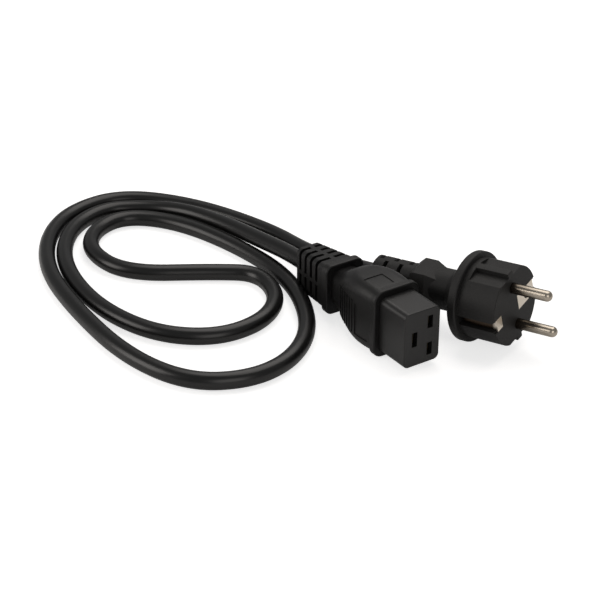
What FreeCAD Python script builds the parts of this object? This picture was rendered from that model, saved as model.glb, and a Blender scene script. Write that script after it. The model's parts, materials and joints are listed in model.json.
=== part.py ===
import FreeCAD, Part
import math
import os

# A moulded mains lead in millimetres: a C19 connector, 7.8 mm cord and a round
# CEE 7/7 earthed plug. +X is the way the connector's nose points and +Z is up.
# The origin is under the middle of the connector, which lies on a narrow side.

Vec = FreeCAD.Vector

# connector nose: the hard insert that goes into the C20 inlet
nose_width = 18.6
nose_height = 26.0
nose_length = 18.0
nose_corner = 2.6
nose_edge = 0.5
nose_lip = 2.0
insert_length = 31.0
slot_width = 2.7
slot_height = 6.0
earth_slot_height = 7.0
slot_side_offset = 4.0
slot_spacing = 13.0
chamber_width = 4.6
chamber_margin = 0.5
chamber_depth = 20.0

# female contacts
leaf_thickness = 0.6
leaf_gap = 2.2
crimp_radius = 1.8
crimp_length = 5.0
seat_clearance = 0.05

# overmoulded connector body
collar_width = 24.0
collar_height = 32.0
collar_length = 3.0
collar_corner = 5.0
collar_edge = 0.7
rim_step = 0.6
shoulder_width = 24.0
shoulder_height = 31.6
heel_width = 17.6
heel_height = 25.4
neck_width = 14.6
neck_height = 17.6
body_length = 35.5
axis_drop = 1.1
exit_drop = 3.2
shell_corner = 6.0

# ribs and blank panels of the body
rib_count = 6
rib_pitch = 2.45
rib_width = 0.9
rib_height = 0.3
rib_setback = 35.0
rib_top = 6.0
rib_bottom = 10.0
panel_setback = 23.5
panel_length = 9.0
panel_top = 5.0
panel_bottom = 10.0
panel_depth = 0.35
crown_setback = 22.8
crown_length = 9.0
crown_width = 9.6
crown_offset = -3.0

# guard flange and slotted strain relief of the connector
guard_width = 20.2
guard_height = 24.4
guard_length = 4.0
guard_corner = 3.6
guard_edge = 0.7
relief_length = 24.8
relief_width = 18.4
relief_height = 21.6
relief_tail_width = 13.0
relief_tail_height = 21.2
relief_corner = 2.6
relief_wall = 1.1
relief_slot = 2.1
relief_pitch = 5.1
relief_rows = 4
relief_first_row = 6.2
relief_web = 2.0
relief_side_web = 1.8

# cord
cord_diameter = 7.8
cord_lead = 18.0
core_radius = 1.4
core_stub = 2.5
core_lead = 9.0

# plug: pins, bridge with the earth contacts, and overmoulded grip
pin_radius = 2.4
pin_length = 19.0
pin_spacing = 19.0
pin_shank = 9.0
shank_step = 0.3
bridge_radius = 17.65
bridge_length = 18.2
bridge_edge = 0.35
spigot_radius = 6.0
spigot_length = 3.0
flat_height = 15.4
flat_rib = 3.4
flat_length = 15.6
channel_width = 4.6
channel_depth = 3.0
clip_width = 3.4
clip_thickness = 0.8
clip_bow = 0.25
clip_end_gap = 1.0
strip_width = 7.2
strip_reach = 15.2
tab_width = 5.8
tab_reach = 6.3
earth_hole_offset = 10.0
earth_hole_radius = 2.45
sleeve_wall = 0.6
sleeve_length = 12.0
sleeve_floor = 1.0
flange_radius = 20.1
flange_thickness = 4.0
flange_edge = 0.8
plug_neck_radius = 9.3
neck_root_radius = 13.5
neck_root_length = 7.8
plug_neck_length = 13.5
grip_rise = 4.9
grip_across = 23.4
grip_length = 6.5
grip_fall = 2.6
plug_relief_length = 20.3
plug_relief_width = 13.0
plug_relief_height = 17.2
plug_relief_corner = 6.0
plug_slot = 2.0
plug_slot_pitch = 3.9
plug_slot_rows = 5
plug_first_slot = 2.5
plug_web = 1.0

# how the plug lies beside the connector
plug_x = 51.3
plug_y = 43.1
plug_yaw = 19.6
plug_tilt = 5.2
plug_roll = 12.1

# worked out from the sizes above
axis_height = collar_height / 2
total_length = nose_length + collar_length + body_length + guard_length + relief_length
front = total_length / 2
rear = front - total_length
collar_front = front - nose_length
body_front = collar_front - collar_length
guard_front = body_front - body_length
relief_front = guard_front - guard_length
guard_z = axis_height - axis_drop
exit_z = axis_height - exit_drop
cord_radius = cord_diameter / 2
cord_rest = cord_radius + seat_clearance
trefoil = 2 * core_radius / math.sqrt(3) + seat_clearance
slot_places = {
    "line": (slot_side_offset, slot_spacing / 2, slot_height),
    "neutral": (slot_side_offset, -slot_spacing / 2, slot_height),
    "earth": (-slot_side_offset, 0.0, earth_slot_height),
}

flange_back = bridge_length + flange_thickness
neck_back = flange_back + plug_neck_length
grip_front = neck_back + grip_rise
grip_back = grip_front + grip_length
relief_start = grip_back + grip_fall
plug_length = relief_start + plug_relief_length
tilt = math.radians(plug_tilt)
plug_z = ((flange_back - flange_edge) * math.sin(tilt) + flange_edge
          + (flange_radius - flange_edge) * math.cos(tilt))
plug_place = FreeCAD.Placement(Vec(plug_x, plug_y, plug_z),
                               FreeCAD.Rotation(plug_yaw, -plug_tilt, plug_roll))


def rounded_section(x, width, height, corner, y=0.0, z=0.0):
    """Closed rounded rectangle in the plane at x, centred on (y, z)."""
    half_w = width / 2
    half_h = height / 2
    radius = min(corner, 0.9 * half_w, 0.9 * half_h)
    slant = radius * (1 - math.sqrt(0.5))
    edges = []
    for turn in range(4):
        sy = (1, -1, -1, 1)[turn]
        sz = (1, 1, -1, -1)[turn]
        side = Vec(x, y + sy * half_w, z + sz * (half_h - radius))
        cap = Vec(x, y + sy * (half_w - radius), z + sz * half_h)
        bend = Vec(x, y + sy * (half_w - slant), z + sz * (half_h - slant))
        start, end = (side, cap) if turn % 2 == 0 else (cap, side)
        edges.append((start, bend, end))
    wire = []
    for turn, (start, bend, end) in enumerate(edges):
        wire.append(Part.Arc(start, bend, end).toShape())
        wire.append(Part.LineSegment(end, edges[(turn + 1) % 4][0]).toShape())
    return Part.Wire(wire)


def block(x0, x1, width, height, y=0.0, z=0.0):
    """Box from x0 back to x1, centred on (y, z)."""
    corner = Vec(min(x0, x1), y - width / 2, z - height / 2)
    return Part.makeBox(abs(x1 - x0), width, height, corner)


def prism(x0, x1, width, height, corner, y=0.0, z=0.0):
    """Rounded bar from x0 to x1."""
    face = Part.Face(rounded_section(x0, width, height, corner, y, z))
    return face.extrude(Vec(x1 - x0, 0, 0))


def rod(x0, x1, radius, y=0.0, z=0.0):
    """Round bar along X."""
    return Part.makeCylinder(radius, abs(x1 - x0), Vec(min(x0, x1), y, z), Vec(1, 0, 0))


def route_wire(points):
    """Straight runs joined by tangent arcs, and the smallest arc radius."""
    vectors = [Vec(*p) for p in points]
    edges = []
    radii = []
    start = vectors[0]
    for before, corner, after in zip(vectors, vectors[1:], vectors[2:]):
        way_in = corner - before
        way_out = after - corner
        half_turn = way_in.getAngle(way_out) / 2
        reach = 0.45 * min(way_in.Length, way_out.Length)
        radius = reach / math.tan(half_turn)
        way_in.normalize()
        way_out.normalize()
        arc_start = corner - way_in * reach
        arc_end = corner + way_out * reach
        inward = way_out - way_in
        inward.normalize()
        sag = radius / math.cos(half_turn) - radius
        edges.append(Part.LineSegment(start, arc_start).toShape())
        edges.append(Part.Arc(arc_start, corner + inward * sag, arc_end).toShape())
        radii.append(radius)
        start = arc_end
    edges.append(Part.LineSegment(start, vectors[-1]).toShape())
    return Part.Wire(edges), radii


def tube_along(points, radius):
    """Solid round tube along a route."""
    wire, radii = route_wire(points)
    way = Vec(*points[1]) - Vec(*points[0])
    disc = Part.Face(Part.Wire([Part.makeCircle(radius, Vec(*points[0]), way)]))
    solid = wire.makePipe(disc)
    return solid, wire.Length, radii


def shell_sections(grow_width=0.0, grow_height=0.0):
    """Cross sections of the connector body from the collar to the neck."""
    waist_width = (shoulder_width + heel_width) / 2
    waist_height = (shoulder_height + heel_height) / 2 + 1.0
    stations = [
        (0.0, collar_width - 2 * rim_step, collar_height - 2 * rim_step, shell_corner - 0.5),
        (0.12, shoulder_width - 0.5, shoulder_height, shell_corner),
        (0.28, shoulder_width, shoulder_height, shell_corner),
        (0.58, waist_width, waist_height, shell_corner + 0.5),
        (0.74, heel_width, heel_height, shell_corner),
        (0.88, neck_width + 0.6, neck_height + 1.8, shell_corner - 1.0),
        (1.0, neck_width, neck_height, shell_corner - 1.0),
    ]
    wires = []
    for share, width, height, corner in stations:
        x = body_front - share * body_length
        z = axis_height - axis_drop * max(0.0, share - 0.6)
        wires.append(rounded_section(x, width + grow_width, height + grow_height, corner, 0, z))
    return wires


def shell_loft(grow_width=0.0, grow_height=0.0):
    return Part.makeLoft(shell_sections(grow_width, grow_height), True, False)


def side_ribs():
    """Fine upright finger ribs that follow the two wide sides."""
    skin = shell_loft(2 * rib_height, 0.0)
    bars = []
    for index in range(rib_count):
        x = front - rib_setback - index * rib_pitch
        for side in (-1, 1):
            bar = block(x - rib_width / 2, x + rib_width / 2, shoulder_width / 2,
                        rib_top + rib_bottom, side * 0.5 * shoulder_width,
                        axis_height + (rib_top - rib_bottom) / 2)
            bars.append(skin.common(bar))
    return bars


def panel_recesses():
    """Tools that sink the blank panels into both wide sides and the crown."""
    middle_z = axis_height + (panel_top - panel_bottom) / 2
    start = front - panel_setback
    inner = shell_loft(-2 * panel_depth, 0.0)
    sides = [block(start, start - panel_length, shoulder_width / 2,
                   panel_top + panel_bottom, side * 0.5 * shoulder_width, middle_z)
             for side in (-1, 1)]
    start = front - crown_setback
    crown = block(start, start - crown_length, crown_width, shoulder_height / 2,
                  crown_offset, axis_height + shoulder_height / 2)
    lowered = shell_loft(0.0, -2 * panel_depth)
    return [side.cut(inner) for side in sides] + [crown.cut(lowered)]


def relief_slots():
    """Rows of slots that wrap the relief's four corners and leave face webs."""
    tools = []
    for row in range(relief_rows):
        setback = relief_first_row + row * relief_pitch
        x = relief_front - setback
        z = exit_z
        web_z = guard_z + (exit_z - guard_z) * setback / relief_length
        slab = block(x - relief_slot / 2, x + relief_slot / 2,
                     relief_width + 4, relief_height + 8, 0, z)
        slab = slab.cut(rod(x - relief_slot, x + relief_slot, cord_radius + relief_wall, 0, z))
        slab = slab.cut(block(x - relief_slot, x + relief_slot, relief_web,
                              relief_height + 10, 0, z))
        slab = slab.cut(block(x - relief_slot, x + relief_slot, relief_width + 6,
                              relief_side_web, 0, web_z))
        tools.append(slab)
    return tools


def core_route(name):
    """Route of one insulated core from its contact to the cord."""
    y, z, _ = slot_places[name]
    turn = math.radians({"line": 60, "neutral": -60, "earth": 180}[name])
    start = front - nose_lip - chamber_depth - crimp_length
    tail_y = trefoil * math.cos(turn)
    tail_z = exit_z + trefoil * math.sin(turn)
    return [
        (start, y, axis_height + z),
        (start - core_lead, y, axis_height + z),
        (guard_front, tail_y, tail_z),
        (rear, tail_y, tail_z),
    ]


def make_insert():
    """Hard nose insert with a chamber behind each slot."""
    body = prism(front, front - insert_length, nose_width, nose_height, nose_corner,
                 0, axis_height)
    edges = [e for e in body.Edges if abs(e.CenterOfMass.x - front) < 0.01]
    body = body.makeFillet(min(nose_edge, nose_corner / 3), edges)
    for y, z, height in slot_places.values():
        z += axis_height
        chamber_start = front - nose_lip
        chamber_end = chamber_start - chamber_depth
        body = body.cut(block(front + 1, chamber_start, slot_width, height, y, z))
        body = body.cut(block(chamber_start, chamber_end, chamber_width,
                              height + chamber_margin, y, z))
        body = body.cut(rod(chamber_end, rear, crimp_radius + seat_clearance, y, z))
    return body


def make_contact(name):
    """Folded female contact: two leaves, a back web and a crimp barrel."""
    y, z, height = slot_places[name]
    z += axis_height
    mouth = front - nose_lip - 1.0
    back = front - nose_lip - chamber_depth
    leaf_height = height - 0.4
    web_width = leaf_gap + 2 * leaf_thickness
    solid = block(back, back + leaf_thickness, web_width, leaf_height, y, z)
    for side in (-1, 1):
        leaf_y = y + side * (leaf_gap + leaf_thickness) / 2
        solid = solid.fuse(block(mouth, back, leaf_thickness, leaf_height, leaf_y, z))
    solid = solid.fuse(rod(back, back - crimp_length, crimp_radius, y, z))
    return solid.removeSplitter()


def make_shell():
    """Overmould of the connector: collar, body, guard and slotted relief."""
    collar = prism(collar_front, body_front, collar_width, collar_height, collar_corner,
                   0, axis_height)
    rims = [e for e in collar.Edges if abs(e.CenterOfMass.x - collar_front) < 0.01]
    collar = collar.makeFillet(min(collar_edge, collar_length / 2), rims)
    shell = collar.fuse(shell_loft())
    for rib in side_ribs():
        shell = shell.fuse(rib)
    for tool in panel_recesses():
        shell = shell.cut(tool)
    guard = prism(guard_front, relief_front, guard_width, guard_height, guard_corner, 0, guard_z)
    ends = [e for e in guard.Edges if abs(e.CenterOfMass.x - guard_front) < 0.01
            or abs(e.CenterOfMass.x - relief_front) < 0.01]
    shell = shell.fuse(guard.makeFillet(guard_edge, ends))
    relief = Part.makeLoft([
        rounded_section(relief_front, relief_width, relief_height, relief_corner, 0, guard_z),
        rounded_section(rear, relief_tail_width, relief_tail_height, relief_corner, 0, exit_z),
    ], True, True)
    for tool in relief_slots():
        relief = relief.cut(tool)
    shell = shell.fuse(relief)
    cavity = prism(front, front - insert_length, nose_width + 2 * seat_clearance,
                   nose_height + 2 * seat_clearance, nose_corner, 0, axis_height)
    shell = shell.cut(cavity)
    for name in slot_places:
        shell = shell.cut(tube_along(core_route(name), core_radius + seat_clearance)[0])
    return shell


def plug_core_routes():
    """Routes of the plug's three cores in the plug's own frame, face at x = 0."""
    crimp_end = -(pin_shank + crimp_length)
    exit_x = -plug_length
    gather = 0.5 * plug_neck_radius
    starts = {
        "line": (crimp_end, 0.0, pin_spacing / 2),
        "neutral": (crimp_end, 0.0, -pin_spacing / 2),
        "earth": (-(clip_thickness + sleeve_length), earth_hole_offset, 0.0),
    }
    routes = {}
    for name, (x, y, z) in starts.items():
        turn = math.radians({"line": 120, "neutral": -120, "earth": 0}[name])
        tail_y = trefoil * math.cos(turn)
        tail_z = trefoil * math.sin(turn)
        routes[name] = [(x, y, z), (x - core_stub, y, z),
                        (-(flange_back + core_stub), gather * math.cos(turn), gather * math.sin(turn)),
                        (-grip_front, tail_y, tail_z), (exit_x, tail_y, tail_z)]
    return routes


def make_bridge():
    """Round carrier that holds the pins, the earth clips and the earth sleeve."""
    body = rod(0, -bridge_length, bridge_radius)
    rim = [e for e in body.Edges if abs(e.CenterOfMass.x) < 0.01 and e.Closed]
    body = body.makeFillet(bridge_edge, rim)
    reach = bridge_radius - flat_height
    pocket_width = bridge_radius - flat_rib / 2
    for side_z in (-1, 1):
        for side_y in (-1, 1):
            pocket = block(1, -flat_length, pocket_width, 2 * reach,
                           side_y * (flat_rib + pocket_width) / 2,
                           side_z * (flat_height + reach))
            body = body.cut(pocket)
    for side in (-1, 1):
        body = body.cut(block(1, -bridge_length, 2 * channel_depth, channel_width,
                              side * bridge_radius))
    for side, reach, width in ((1, strip_reach, strip_width), (-1, tab_reach, tab_width)):
        seat = block(1, -clip_thickness, reach + 1 + seat_clearance, width + 2 * seat_clearance,
                     side * (bridge_radius - (reach + seat_clearance - 1) / 2))
        body = body.cut(seat)
    body = body.fuse(rod(-bridge_length, -(bridge_length + spigot_length), spigot_radius))
    body = body.cut(rod(-clip_thickness, -(clip_thickness + sleeve_length),
                        earth_hole_radius + sleeve_wall + seat_clearance, earth_hole_offset))
    for side in (-1, 1):
        z = side * pin_spacing / 2
        body = body.cut(rod(0, -pin_shank, pin_radius - shank_step + seat_clearance, 0, z))
        body = body.cut(rod(-pin_shank, -bridge_length, crimp_radius + seat_clearance, 0, z))
    for points in plug_core_routes().values():
        body = body.cut(tube_along(points, core_radius + seat_clearance)[0])
    return body


def make_pin(side):
    """Round contact pin with a domed tip, a shank and a crimp."""
    z = side * pin_spacing / 2
    dome_base = pin_length - pin_radius
    pin = rod(dome_base, 0, pin_radius, 0, z)
    pin = pin.fuse(rod(0, -pin_shank, pin_radius - shank_step, 0, z))
    pin = pin.fuse(Part.makeSphere(pin_radius, Vec(dome_base, 0, z)))
    pin = pin.fuse(rod(-pin_shank, -(pin_shank + crimp_length), crimp_radius, 0, z))
    return pin.removeSplitter()


def make_clip(side, reach, width):
    """Side earth clip: a bowed strip in its channel with a tab over the face."""
    floor = bridge_radius - channel_depth
    top = floor + clip_thickness
    length = bridge_length - clip_end_gap
    end = bridge_radius - reach
    outer = [(0, end), (0, top), (-length, top), (-length, floor), (-clip_thickness, floor),
             (-clip_thickness, end)]
    points = [Vec(x, side * y, -clip_width / 2) for x, y in outer]
    edges = [Part.LineSegment(points[0], points[1]).toShape()]
    crown = Vec(-length / 2, side * (top + clip_bow), -clip_width / 2)
    edges.append(Part.Arc(points[1], crown, points[2]).toShape())
    for near, far in zip(points[2:], points[3:] + points[:1]):
        edges.append(Part.LineSegment(near, far).toShape())
    strip = Part.Face(Part.Wire(edges)).extrude(Vec(0, 0, clip_width))
    strip = strip.fuse(block(0, -clip_thickness, top - end, width, side * (top + end) / 2))
    if end < earth_hole_offset:
        strip = strip.cut(rod(1, -clip_thickness - 1, earth_hole_radius,
                              side * earth_hole_offset))
    return strip.removeSplitter()


def make_sleeve():
    """Socket sleeve behind the earth hole."""
    outer = rod(-clip_thickness, -(clip_thickness + sleeve_length),
                earth_hole_radius + sleeve_wall, earth_hole_offset)
    bore = rod(-clip_thickness, -(clip_thickness + sleeve_length - sleeve_floor),
               earth_hole_radius, earth_hole_offset)
    return outer.cut(bore)


def plug_relief_slots():
    """Half-ring slots that open on the far side and the near side by turns."""
    tools = []
    reach_y = plug_relief_width / 2
    reach_z = plug_relief_height + plug_slot
    for row in range(plug_slot_rows):
        side = -1 if row % 2 else 1
        x = -(relief_start + plug_first_slot + row * plug_slot_pitch)
        near = x + plug_slot / 2
        far = x - plug_slot / 2
        slab = block(near, far, reach_y, reach_z, side * (plug_web + reach_y) / 2)
        core = rod(near + plug_slot, far - plug_slot, cord_radius + relief_wall)
        tools.append(slab.cut(core))
    return tools


def hexagon(distance, share):
    """Six-sided outline behind the face, with flats above and below."""
    corners = []
    for index in range(6):
        angle = math.radians(60 * index)
        radius = share * grip_across / 2
        corners.append(Vec(-distance, radius * math.cos(angle), radius * math.sin(angle)))
    return Part.makePolygon(corners + corners[:1])


def make_plug_shell():
    """Overmould of the plug: flange, neck, six-sided grip and slotted relief."""
    flange = rod(-bridge_length, -flange_back, flange_radius)
    rims = [e for e in flange.Edges if e.Closed and len(e.Vertexes) == 1]
    flange = flange.makeFillet(flange_edge, rims)
    root = Part.makeCone(neck_root_radius, plug_neck_radius, neck_root_length,
                         Vec(-flange_back, 0, 0), Vec(-1, 0, 0))
    neck = root.fuse(rod(-flange_back, -grip_front, plug_neck_radius))
    waist = 2 * plug_neck_radius / grip_across
    grip = Part.makeLoft([hexagon(neck_back, waist), hexagon(grip_front, 1.0),
                          hexagon(grip_back, 1.0), hexagon(relief_start, waist)], True, True)
    relief = prism(-grip_back, -plug_length, plug_relief_width, plug_relief_height,
                   plug_relief_corner)
    for tool in plug_relief_slots():
        relief = relief.cut(tool)
    shell = flange.fuse(neck).fuse(grip).fuse(relief)
    shell = shell.cut(rod(-bridge_length, -(bridge_length + spigot_length),
                          spigot_radius + seat_clearance))
    for points in plug_core_routes().values():
        shell = shell.cut(tube_along(points, core_radius + seat_clearance)[0])
    return shell


def plug_point(distance):
    """Point on the plug's axis, this far behind its face."""
    point = plug_place.multVec(Vec(-distance, 0, 0))
    return (point.x, point.y, point.z)


# The cord leaves both reliefs along their axes, comes down to the surface and
# lies on it in two open loops. Each floor point is (x, y).
floor_route = [
    (-157, -27), (-162.5, -42), (-152, -67), (-125, -86), (-81, -92), (-40, -82),
    (-24, -60), (-23, -39), (-37, -21), (-59, -15), (-78, -33), (-100, -67),
    (-127, -69), (-145, -60), (-153, -38), (-132, -17), (-91, -9), (-48, -8),
    (-8, -23), (8, -43), (14, -63), (4, -90), (-36, -102), (-79, -101),
    (-121, -96), (-157, -76), (-169.6, -58.3), (-172.4, -28.5), (-141, -3.7), (-98, 12),
]
cord_points = [
    (rear, 0, exit_z),
    (rear - cord_lead, 0, exit_z),
    (-81, 4, cord_rest + 2.0),
    (-127, -5.5, cord_rest + 2.8),
    *[(x, y, cord_rest) for x, y in floor_route],
    (-62, 14.5, cord_rest + 4.8),
    plug_point(plug_length + cord_lead),
    plug_point(plug_length),
]

nodes = {"connector_shell": make_shell(), "nose_insert": make_insert()}
for name in slot_places:
    nodes["contact_" + name] = make_contact(name)
    nodes["core_" + name] = tube_along(core_route(name), core_radius)[0]
cord, cord_length, cord_radii = tube_along(cord_points, cord_radius)
nodes["cord_tube"] = cord

plug_nodes = {
    "plug_shell": make_plug_shell(),
    "plug_bridge": make_bridge(),
    "pin_line": make_pin(1),
    "pin_neutral": make_pin(-1),
    "earth_clip_far": make_clip(1, strip_reach, strip_width),
    "earth_clip_near": make_clip(-1, tab_reach, tab_width),
    "earth_sleeve": make_sleeve(),
}
for name, points in plug_core_routes().items():
    plug_nodes["plug_core_" + name] = tube_along(points, core_radius)[0]
for name, solid in plug_nodes.items():
    solid.Placement = plug_place
    nodes[name] = solid

os.makedirs("parts", exist_ok=True)
for name, solid in nodes.items():
    solid.exportStep("parts/" + name + ".step")

section_area = math.pi * cord_radius ** 2
print("cord length", round(cord_length, 1), "volume over section x length",
      round(cord.Volume / (section_area * cord_length), 4))
print("cord radii", [round(radius, 1) for radius in cord_radii])
for name, solid in nodes.items():
    print(name, "solids", len(solid.Solids), "valid", solid.isValid(),
          "volume", round(solid.Volume, 1), "lowest", round(solid.BoundBox.ZMin, 2))
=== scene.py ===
import bpy
import json
import numpy as np
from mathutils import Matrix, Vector


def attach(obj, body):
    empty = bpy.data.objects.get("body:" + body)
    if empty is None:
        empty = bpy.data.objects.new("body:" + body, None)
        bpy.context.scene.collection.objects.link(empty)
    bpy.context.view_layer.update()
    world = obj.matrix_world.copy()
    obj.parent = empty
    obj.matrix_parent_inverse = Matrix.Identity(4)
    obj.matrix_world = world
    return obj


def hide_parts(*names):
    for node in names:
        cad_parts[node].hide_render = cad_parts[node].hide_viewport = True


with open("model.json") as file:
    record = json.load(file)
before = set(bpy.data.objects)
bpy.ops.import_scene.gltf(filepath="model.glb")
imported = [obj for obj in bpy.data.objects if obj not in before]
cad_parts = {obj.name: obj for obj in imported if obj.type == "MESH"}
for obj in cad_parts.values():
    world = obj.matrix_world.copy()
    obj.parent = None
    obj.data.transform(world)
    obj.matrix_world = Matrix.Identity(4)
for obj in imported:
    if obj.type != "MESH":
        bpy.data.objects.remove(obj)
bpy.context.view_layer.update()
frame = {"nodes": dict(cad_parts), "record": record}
mm = 0.001

cameraValues = {
    "place": (526.3, -385.6, 374.2),   # mm, in front of the nose and to its near side
    "view": (-0.7306, 0.4851, -0.4805),
    "lens": 103.54,
}


def makeCamera(values):
    data = bpy.data.cameras.new("camera")
    data.lens = values["lens"]
    data.sensor_width = 36.0
    camera = bpy.data.objects.new("camera", data)
    camera.location = Vector(values["place"]) * mm
    camera.rotation_euler = Vector(values["view"]).to_track_quat("-Z", "Y").to_euler()
    bpy.context.collection.objects.link(camera)
    bpy.context.scene.camera = camera


makeCamera(cameraValues)
print("camera made")

cordValues = {
    "diameter": 7.8,    # mm
    "length": 1120.0,   # mm
    "sides": 10,        # the more, the rounder the section
    "steps": 14,        # between two points of the route
}
cordRoute = [   # mm, from the connector's back to the plug's back
    (-42.65, 0, 12.8),
    (-56, 0, 12.8),
    (-82, -1.5, 10),
    (-108, -4, 8),
    (-136, -11, 6),
    (-154, -24, 3.95),
    (-164, -43, 3.95),
    (-152.5, -67.5, 3.95),
    (-123, -86, 3.95),
    (-80, -92.5, 3.95),
    (-43, -84, 3.95),
    (-23, -63, 3.95),
    (-23, -38, 3.95),
    (-38, -19, 3.95),
    (-63, -14, 3.95),
    (-76, -31, 3.95),
    (-97, -66, 3.95),
    (-126, -70, 3.95),
    (-145, -58, 3.95),
    (-151, -37, 3.95),
    (-130, -18, 3.95),
    (-90, -7, 3.95),
    (-49, -5, 3.95),
    (-11, -20, 3.95),
    (10, -42, 3.95),
    (15, -67, 3.95),
    (2, -91, 3.95),
    (-32, -102, 3.95),
    (-81, -101, 3.95),
    (-121, -95, 3.95),
    (-152.5, -79, 3.95),
    (-171, -56, 3.95),
    (-172, -27, 3.95),
    (-143, -2, 3.95),
    (-99, 14, 3.95),
    (-62, 13.5, 7),
    (-31.26, 13.7, 13.98),
    (-14.37, 19.72, 15.62),
]


# a smooth curve of order 3 led by the route's points, with a round section
def makeCord(values, route):
    curve = bpy.data.curves.new("cordSheath", "CURVE")
    curve.dimensions = "3D"
    spline = curve.splines.new("NURBS")
    spline.points.add(len(route) - 1)
    flat = np.c_[np.array(route, float) * mm, np.ones(len(route))]
    spline.points.foreach_set("co", flat.ravel())
    spline.points.foreach_set("radius", np.full(len(route), mm))   # the bevel is in mm
    spline.order_u = 3
    spline.use_endpoint_u = True
    curve.resolution_u = values["steps"]
    curve.bevel_depth = values["diameter"] / 2
    curve.bevel_resolution = values["sides"]
    curve.use_fill_caps = True
    cord = bpy.data.objects.new("cordSheath", curve)
    bpy.context.collection.objects.link(cord)
    return cord


cordSheath = makeCord(cordValues, cordRoute)
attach(cordSheath, "root")
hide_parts("cord_tube")
print("cord made")


def newMaterial(name, colour, roughness, metallic=0.0, gloss=0.5):
    material = bpy.data.materials.new(name)
    material.use_nodes = True
    shader = material.node_tree.nodes["Principled BSDF"]
    shader.inputs["Base Color"].default_value = (*colour, 1.0)
    shader.inputs["Roughness"].default_value = roughness
    shader.inputs["Metallic"].default_value = metallic
    shader.inputs["Specular IOR Level"].default_value = gloss
    return material, material.node_tree, shader


surfaceValues = {
    "bumpDepth": 0.00008,        # m
    "bumpDetail": 3.0,
    "toneScale": 60.0,
    "metalToneScale": 90.0,
    "toneEdges": (0.35, 0.65),   # of the noise, outside which a colour is pure
}


# noise on Object coordinates drives a small bump
def addBump(tree, shader, coords, scale, strength):
    noise = tree.nodes.new("ShaderNodeTexNoise")
    noise.inputs["Scale"].default_value = scale
    noise.inputs["Detail"].default_value = surfaceValues["bumpDetail"]
    bump = tree.nodes.new("ShaderNodeBump")
    bump.inputs["Strength"].default_value = strength
    bump.inputs["Distance"].default_value = surfaceValues["bumpDepth"]
    tree.links.new(coords.outputs["Object"], noise.inputs["Vector"])
    tree.links.new(noise.outputs["Fac"], bump.inputs["Height"])
    tree.links.new(bump.outputs["Normal"], shader.inputs["Normal"])


# slow noise mixes two close colours, so the surface isn't one flat tone
def addTone(tree, shader, coords, dark, light, scale):
    noise = tree.nodes.new("ShaderNodeTexNoise")
    noise.inputs["Scale"].default_value = scale
    ramp = tree.nodes.new("ShaderNodeValToRGB")
    for element, place, colour in zip(ramp.color_ramp.elements, surfaceValues["toneEdges"],
                                      (dark, light)):
        element.position = place
        element.color = (*colour, 1.0)
    tree.links.new(coords.outputs["Object"], noise.inputs["Vector"])
    tree.links.new(noise.outputs["Fac"], ramp.inputs["Fac"])
    tree.links.new(ramp.outputs["Color"], shader.inputs["Base Color"])


def plasticMaterial(name, dark, light, roughness, grain, strength, gloss=0.5):
    material, tree, shader = newMaterial(name, dark, roughness, 0.0, gloss)
    coords = tree.nodes.new("ShaderNodeTexCoord")
    addBump(tree, shader, coords, grain, strength)
    addTone(tree, shader, coords, dark, light, surfaceValues["toneScale"])
    return material


# a second colour, where there is one, gives the metal a slow tone
def metalMaterial(name, colour, roughness, light=None):
    material, tree, shader = newMaterial(name, colour, roughness, 1.0)
    if light:
        coords = tree.nodes.new("ShaderNodeTexCoord")
        addTone(tree, shader, coords, colour, light, surfaceValues["metalToneScale"])
    return material


# painted shade: colour runs from dark to light with the distance along a direction, between
# start and end in mm
def addPaintedAxisShade(material, direction, start, end, dark, light):
    tree = material.node_tree
    shader = tree.nodes["Principled BSDF"]
    coords = tree.nodes.new("ShaderNodeTexCoord")
    along = tree.nodes.new("ShaderNodeVectorMath")
    along.operation = "DOT_PRODUCT"
    along.inputs[1].default_value = direction
    span = tree.nodes.new("ShaderNodeMapRange")
    span.inputs["From Min"].default_value = start * mm
    span.inputs["From Max"].default_value = end * mm
    ramp = tree.nodes.new("ShaderNodeValToRGB")
    ramp.color_ramp.elements[0].color = (*dark, 1.0)
    ramp.color_ramp.elements[1].color = (*light, 1.0)
    tree.links.new(coords.outputs["Object"], along.inputs[0])
    tree.links.new(along.outputs["Value"], span.inputs["Value"])
    tree.links.new(span.outputs["Result"], ramp.inputs["Fac"])
    tree.links.new(ramp.outputs["Color"], shader.inputs["Base Color"])


finishes = {   # one for each material slot of the record
    "moulded_pvc": plasticMaterial("mouldedPvc", (0.0026, 0.0025, 0.0025),
                                   (0.0040, 0.0039, 0.0038), 0.46, 2600.0, 0.45, 0.42),
    "insert_plastic": plasticMaterial("insertPlastic", (0.0085, 0.0083, 0.0083),
                                      (0.0102, 0.0100, 0.0099), 0.38, 2200.0, 0.12),
    "cord_sheath": plasticMaterial("cordSheathPvc", (0.0028, 0.0027, 0.0026),
                                   (0.0040, 0.0039, 0.0037), 0.3, 1500.0, 0.06, 0.5),
    # painted shade: the contact brass is made near black to stand for the shade inside the
    # slots; its slow noise tone is random
    "contact_metal": metalMaterial("contactBrassInPaintedShade", (0.12, 0.1, 0.06), 0.5, (0.16, 0.13, 0.08)),
    "nickel_plate": metalMaterial("nickelPlate", (0.34, 0.295, 0.24), 0.24),
    "bronze_strip": metalMaterial("bronzeStrip", (0.26, 0.19, 0.12), 0.3),
    "brown_insulation": plasticMaterial("brownCore", (0.12, 0.05, 0.02), (0.14, 0.06, 0.03),
                                        0.35, 1500.0, 0.1),
    "blue_insulation": plasticMaterial("blueCore", (0.02, 0.08, 0.35), (0.03, 0.1, 0.4),
                                       0.35, 1500.0, 0.1),
    "green_yellow_insulation": plasticMaterial("greenYellowCore", (0.05, 0.3, 0.04),
                                               (0.6, 0.55, 0.03), 0.35, 1500.0, 0.1),
}


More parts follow.
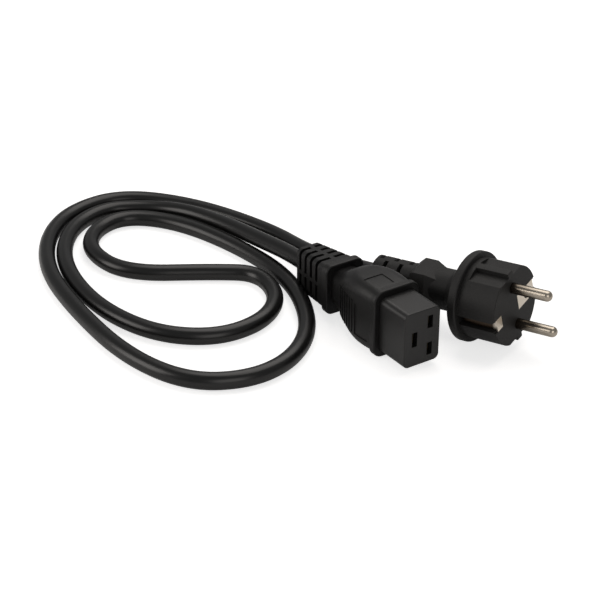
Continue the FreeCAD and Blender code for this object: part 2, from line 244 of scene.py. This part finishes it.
# distances in mm along the plug's axis, from the face where the earth hole opens
socket = next(row for row in frame["record"]["mounts"] if row["name"] == "earth_socket")
plugAxis = Vector(socket["axis"])
plugFace = plugAxis.dot(Vector(socket["pos_m"])) / mm + socket["dims"]["length_mm"] / 2
# painted shade along the plug's axis, on the earth strips and the pins
paintedShadeValues = {
    "stripTurn": (-2.4, -0.9),   # painted shade: the strips are dark in their channels, where shade falls, and bright at the face
    "stripPaintedShade": (0.07, 0.05, 0.035),
    "stripLight": (0.85, 0.77, 0.66),
    "pinTurn": (0.5, 13.0),      # painted shade: the pins are darker at their roots, where shade falls near the plug
    "pinPaintedShade": (0.08, 0.064, 0.048),
    "pinLight": (0.5, 0.445, 0.37),
}
addPaintedAxisShade(finishes["bronze_strip"], plugAxis, plugFace + paintedShadeValues["stripTurn"][0],
             plugFace + paintedShadeValues["stripTurn"][1], paintedShadeValues["stripPaintedShade"],
             paintedShadeValues["stripLight"])
addPaintedAxisShade(finishes["nickel_plate"], plugAxis, plugFace + paintedShadeValues["pinTurn"][0],
             plugFace + paintedShadeValues["pinTurn"][1], paintedShadeValues["pinPaintedShade"],
             paintedShadeValues["pinLight"])
grainyPlug = plasticMaterial("plugPlastic", (0.0076, 0.0073, 0.0070), (0.0112, 0.0108, 0.0103),
                             0.6, 2100.0, 1.0, 0.42)


def dressNodes():
    slotOf = {part["node"]: part["material_slot"] for part in frame["record"]["subparts"]}
    for name, node in frame["nodes"].items():
        finish = grainyPlug if name in ("plug_bridge", "plug_shell") else finishes[slotOf[name]]
        node.data.materials.clear()
        node.data.materials.append(finish)


dressNodes()
cordSheath.data.materials.append(finishes["cord_sheath"])
print("materials made")

studioValues = {
    "floorSize": 4.0,           # m
    "floorShade": 0.8,
    "floorGlow": 0.7,           # added for the camera only, so that the paper looks white
    "mirroredGlow": 0.1,        # added where gloss and metal show the paper
    "worldStrength": 0.16,
    "mirroredStrength": 0.26,   # of the world where gloss and metal show it
    "lampColour": (1.0, 0.958, 0.922),
    "lampAim": (-0.05, -0.03, 0.0),
    "lamps": [
        # name, place in m, size in m, watts
        ("topLamp", (-0.25, 0.3, 0.8), 0.85, 4.0),
        ("sideLamp", (0.8, -0.3, 0.4), 0.6, 1.5),
        ("frontLamp", (-0.35, -0.75, 0.3), 0.5, 2.2),
    ],
}


# pale paper with the object's shadow kept
def makeFloor(values):
    half = values["floorSize"] / 2
    corners = np.array([(-half, -half, 0), (half, -half, 0), (half, half, 0), (-half, half, 0)])
    mesh = bpy.data.meshes.new("floor")
    mesh.from_pydata(corners.tolist(), [], [(0, 1, 2, 3)])
    floor = bpy.data.objects.new("floor", mesh)
    bpy.context.collection.objects.link(floor)
    material = bpy.data.materials.new("floorPaper")
    material.use_nodes = True
    tree = material.node_tree
    shader = tree.nodes["Principled BSDF"]
    shader.inputs["Base Color"].default_value = (*[values["floorShade"]] * 3, 1)
    shader.inputs["Roughness"].default_value = 0.9
    shader.inputs["Specular IOR Level"].default_value = 0.0
    glow = tree.nodes.new("ShaderNodeEmission")
    glow.inputs["Color"].default_value = (1, 1, 1, 1)
    path = tree.nodes.new("ShaderNodeLightPath")
    mirrored = tree.nodes.new("ShaderNodeMath")
    mirrored.operation = "MULTIPLY"
    mirrored.inputs[1].default_value = values["mirroredGlow"]
    share = tree.nodes.new("ShaderNodeMath")
    share.operation = "MULTIPLY_ADD"
    share.inputs[1].default_value = values["floorGlow"]
    add = tree.nodes.new("ShaderNodeAddShader")
    output = tree.nodes["Material Output"]
    tree.links.new(path.outputs["Is Glossy Ray"], mirrored.inputs[0])
    tree.links.new(path.outputs["Is Camera Ray"], share.inputs[0])
    tree.links.new(mirrored.outputs[0], share.inputs[2])
    tree.links.new(share.outputs[0], glow.inputs["Strength"])
    tree.links.new(shader.outputs[0], add.inputs[0])
    tree.links.new(glow.outputs[0], add.inputs[1])
    tree.links.new(add.outputs[0], output.inputs["Surface"])
    mesh.materials.append(material)


def makeWorld(values):
    world = bpy.data.worlds.new("studio")
    bpy.context.scene.world = world
    world.use_nodes = True
    tree = world.node_tree
    background = tree.nodes["Background"]
    background.inputs["Color"].default_value = (1, 1, 1, 1)
    path = tree.nodes.new("ShaderNodeLightPath")
    mirrored = tree.nodes.new("ShaderNodeMix")
    mirrored.inputs[2].default_value = values["worldStrength"]
    mirrored.inputs[3].default_value = values["mirroredStrength"]
    mix = tree.nodes.new("ShaderNodeMix")
    mix.inputs[3].default_value = 1.0
    tree.links.new(path.outputs["Is Glossy Ray"], mirrored.inputs[0])
    tree.links.new(mirrored.outputs[0], mix.inputs[2])
    tree.links.new(path.outputs["Is Camera Ray"], mix.inputs[0])
    tree.links.new(mix.outputs[0], background.inputs["Strength"])


def makeLamps(values):
    for name, place, size, watts in values["lamps"]:
        data = bpy.data.lights.new(name, "AREA")
        data.energy = watts
        data.size = size
        data.color = values["lampColour"]
        lamp = bpy.data.objects.new(name, data)
        lamp.location = place
        aim = Vector(values["lampAim"]) - Vector(place)
        lamp.rotation_euler = aim.to_track_quat("-Z", "Y").to_euler()
        bpy.context.collection.objects.link(lamp)


makeFloor(studioValues)
makeWorld(studioValues)
makeLamps(studioValues)
bpy.context.scene.view_settings.view_transform = "Standard"
print("studio made")

bpy.context.view_layer.update()
